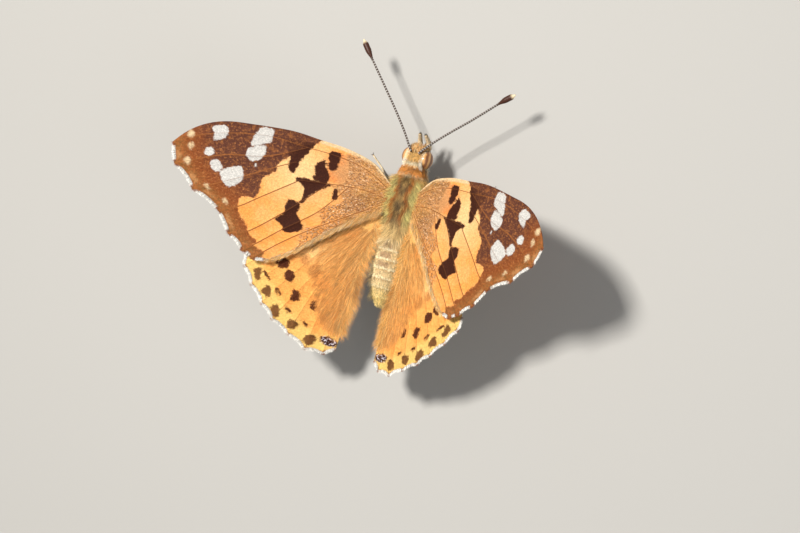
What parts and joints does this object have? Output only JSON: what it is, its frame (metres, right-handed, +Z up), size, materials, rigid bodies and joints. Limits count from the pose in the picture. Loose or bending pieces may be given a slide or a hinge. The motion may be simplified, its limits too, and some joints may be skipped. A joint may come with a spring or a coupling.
{
  "type": "painted lady butterfly",
  "caption": "Life-size painted lady butterfly standing with half-raised wings, feelers spread and tongue coiled, each wing and leg its own part.",
  "frame": {"origin": "middle of the butterfly's whole footprint, on the floor it stands on", "axes": "+X to the animal's left, -Y the way it faces, +Z up"},
  "size_m": [0.0558, 0.0436, 0.0244],
  "materials": {
    "wing": "matte",
    "body_coat": "matte",
    "abdomen_coat": "matte",
    "palp_coat": "matte",
    "eye": "gloss",
    "antenna": "satin",
    "horn": "satin",
    "leg": "matte"
  },
  "bodies": {
    "root": {"thorax": "body_coat", "abdomen": "abdomen_coat", "head": "body_coat", "proboscis": "horn", "palp_left": "palp_coat", "palp_right": "palp_coat", "eye_left": "eye", "eye_right": "eye", "antenna_left": "antenna", "antenna_right": "antenna", "forewing_left": "wing", "forewing_right": "wing", "hindwing_left": "wing", "hindwing_right": "wing", "foreleg_left": "leg", "midleg_left_femur": "leg", "midleg_left_tibia": "leg", "midleg_left_tarsus": "leg", "hindleg_left_femur": "leg", "hindleg_left_tibia": "leg", "hindleg_left_tarsus": "leg", "foreleg_right": "leg", "midleg_right_femur": "leg", "midleg_right_tibia": "leg", "midleg_right_tarsus": "leg", "hindleg_right_femur": "leg", "hindleg_right_tibia": "leg", "hindleg_right_tarsus": "leg"}
  },
  "joints": []
}
